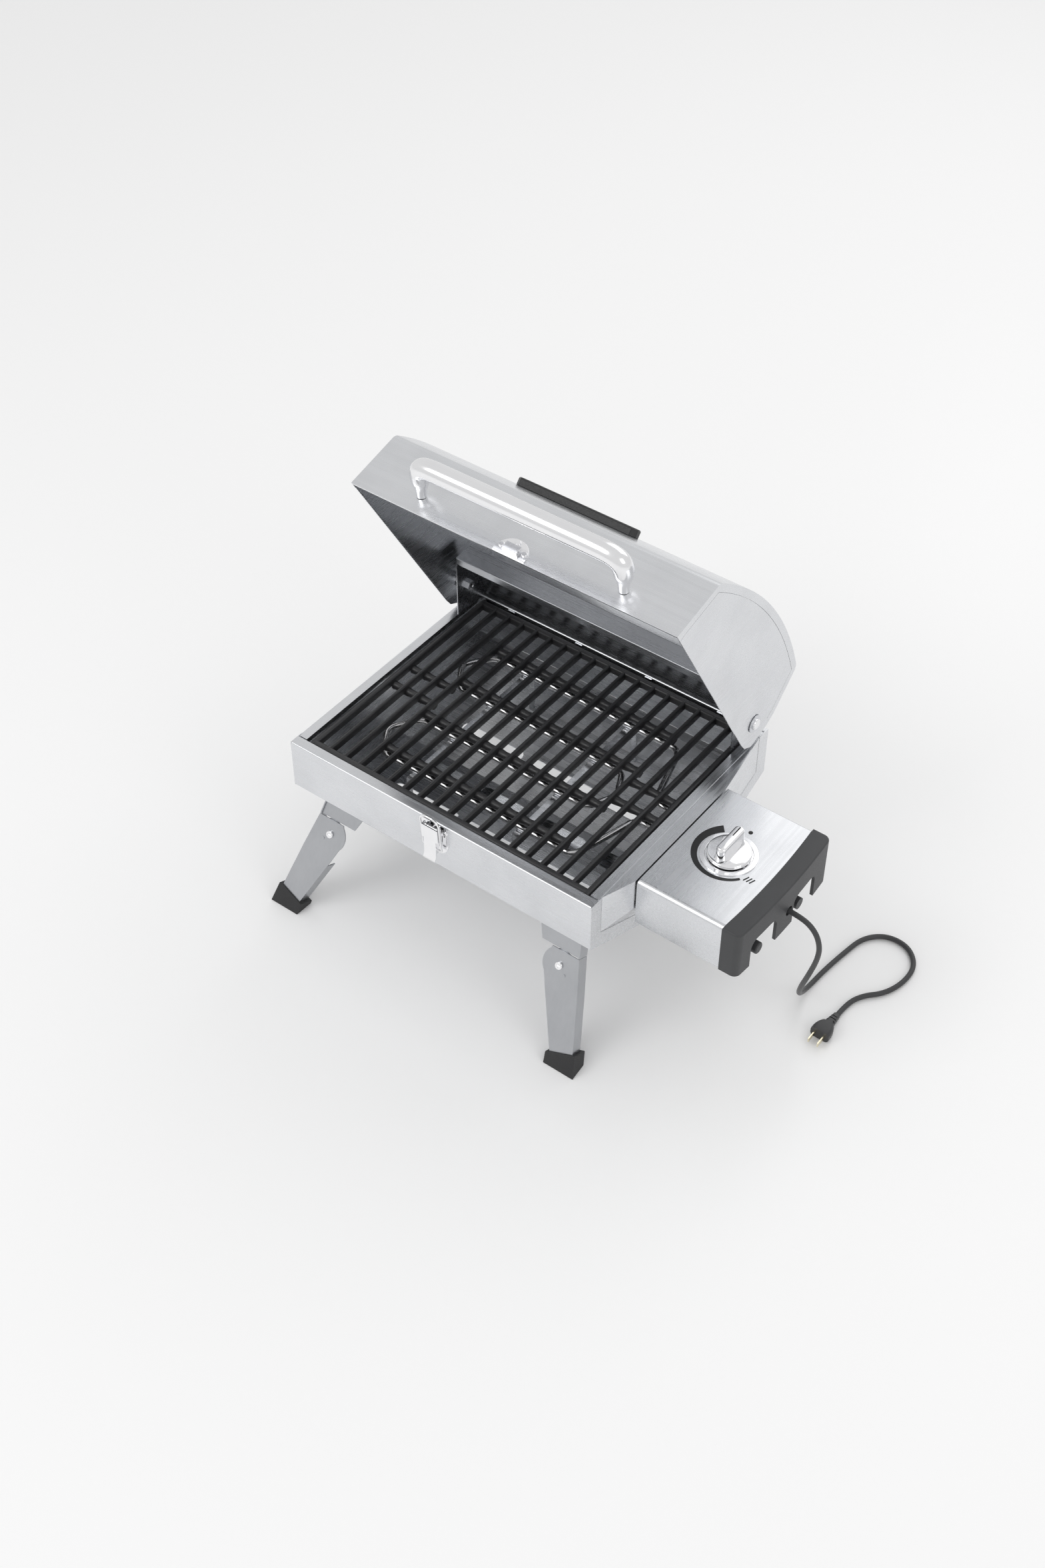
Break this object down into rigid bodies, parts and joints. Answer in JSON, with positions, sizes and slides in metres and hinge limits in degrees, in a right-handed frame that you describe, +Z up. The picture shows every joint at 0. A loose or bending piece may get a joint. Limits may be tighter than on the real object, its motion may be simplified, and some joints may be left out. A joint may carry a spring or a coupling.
{
  "type": "portable tabletop grill",
  "caption": "Tabletop electric grill: stainless firebox with V bottom, hinged lid with tube handle, cast grate, side control box with dial knob, folding legs, draw latch and power cord.",
  "frame": {"origin": "on the surface the feet stand on, under the middle of the overall box without the free cord", "axes": "+X towards the control box, +Y towards the lid hinge, +Z up"},
  "size_m": [0.7537, 0.4687, 0.6187],
  "materials": {
    "stainless": "brushed stainless sheet",
    "zinc_steel": "plain zinc-plated steel",
    "bright_metal": "polished",
    "cast_iron": "black enamelled casting",
    "dark_plastic": "fine-textured moulding",
    "rubber_black": "moulded rubber",
    "cord_vinyl": "satin vinyl",
    "brass_blades": "plated blades",
    "black_enamel": "flat black print and paint",
    "beige_ceramic": "moulded insulator"
  },
  "bodies": {
    "housing": {"box_screws": "zinc_steel", "cap_pegs": "dark_plastic", "carry_handle": "bright_metal", "control_box": "stainless", "cord_gland": "cord_vinyl", "dial_bezel": "bright_metal", "dial_markings": "black_enamel", "element_supports": "zinc_steel", "end_cap": "dark_plastic", "firebox_shell": "stainless", "grate_rests": "zinc_steel", "guard_end_plates": "stainless", "heating_element": "bright_metal", "hinge_bolts": "zinc_steel", "hinge_bushings": "zinc_steel", "hinge_nuts": "zinc_steel", "hinge_washers": "zinc_steel", "latch_base": "bright_metal", "latch_rivets": "bright_metal", "leg_bracket_front_left": "stainless", "leg_bracket_front_right": "stainless", "leg_bracket_rear_left": "stainless", "leg_bracket_rear_right": "stainless", "leg_screws": "zinc_steel", "plug_blades": "brass_blades", "plug_body": "cord_vinyl", "plug_strain_relief": "cord_vinyl", "power_cord": "cord_vinyl", "rear_guard": "stainless", "side_panel_left": "stainless", "side_panel_right": "stainless", "terminal_block": "beige_ceramic", "thermostat": "beige_ceramic", "tray_rails": "zinc_steel", "wiring_plate": "stainless"},
    "lid": {"lid_shell": "stainless", "lid_end_left": "stainless", "lid_end_right": "stainless", "lid_handle": "bright_metal", "handle_screws": "zinc_steel", "strike_plate": "bright_metal", "strike_screws": "bright_metal", "lid_badge": "black_enamel"},
    "grate": {"cooking_grate": "cast_iron"},
    "tray": {"grease_tray": "stainless"},
    "knob": {"knob": "bright_metal", "knob_shaft": "zinc_steel"},
    "latch_lever": {"latch_lever": "bright_metal"},
    "latch_bail": {"latch_bail": "bright_metal"},
    "leg_front_right": {"leg_front_right": "stainless", "foot_front_right": "rubber_black"},
    "leg_front_left": {"leg_front_left": "stainless", "foot_front_left": "rubber_black"},
    "leg_rear_right": {"leg_rear_right": "stainless", "foot_rear_right": "rubber_black"},
    "leg_rear_left": {"leg_rear_left": "stainless", "foot_rear_left": "rubber_black"}
  },
  "joints": [
    {"name": "lid_hinge", "type": "hinge", "parent": "housing", "child": "lid", "pos_m": [-0.05765, 0.14413, 0.289], "axis": [1, 0, 0], "range_deg": [0, 61]},
    {"name": "grate_lift", "type": "slide", "parent": "housing", "child": "grate", "axis": [0, 0, 1], "range_m": [0, 0.012]},
    {"name": "tray_slide", "type": "slide", "parent": "housing", "child": "tray", "axis": [-1, 0, 0], "range_m": [0, 0.2]},
    {"name": "knob_turn", "type": "hinge", "parent": "housing", "child": "knob", "pos_m": [0.24485, -0.02287, 0.26], "axis": [0, 0, -1], "range_deg": [0, 315]},
    {"name": "latch_lift", "type": "hinge", "parent": "housing", "child": "latch_lever", "pos_m": [-0.05765, -0.19247, 0.2456], "axis": [-1, 0, 0], "range_deg": [0, 60]},
    {"name": "bail_swing", "type": "hinge", "parent": "latch_lever", "child": "latch_bail", "pos_m": [-0.05765, -0.19227, 0.213], "axis": [1, 0, 0], "range_deg": [0, 60]},
    {"name": "leg_front_right_fold", "type": "hinge", "parent": "housing", "child": "leg_front_right", "pos_m": [0.12035, -0.17997, 0.1133], "axis": [0, 0.9063, -0.4226], "range_deg": [0, 108]},
    {"name": "leg_front_left_fold", "type": "hinge", "parent": "housing", "child": "leg_front_left", "pos_m": [-0.23565, -0.17997, 0.1133], "axis": [0, -0.9063, 0.4226], "range_deg": [0, 108]},
    {"name": "leg_rear_right_fold", "type": "hinge", "parent": "housing", "child": "leg_rear_right", "pos_m": [0.12035, 0.17823, 0.1133], "axis": [0, 0.9063, 0.4226], "range_deg": [0, 108]},
    {"name": "leg_rear_left_fold", "type": "hinge", "parent": "housing", "child": "leg_rear_left", "pos_m": [-0.23565, 0.17823, 0.1133], "axis": [0, -0.9063, -0.4226], "range_deg": [0, 108]}
  ],
  "couplings": [
    {"joint": "bail_swing", "follows": "latch_lift", "ratio": 1}
  ]
}
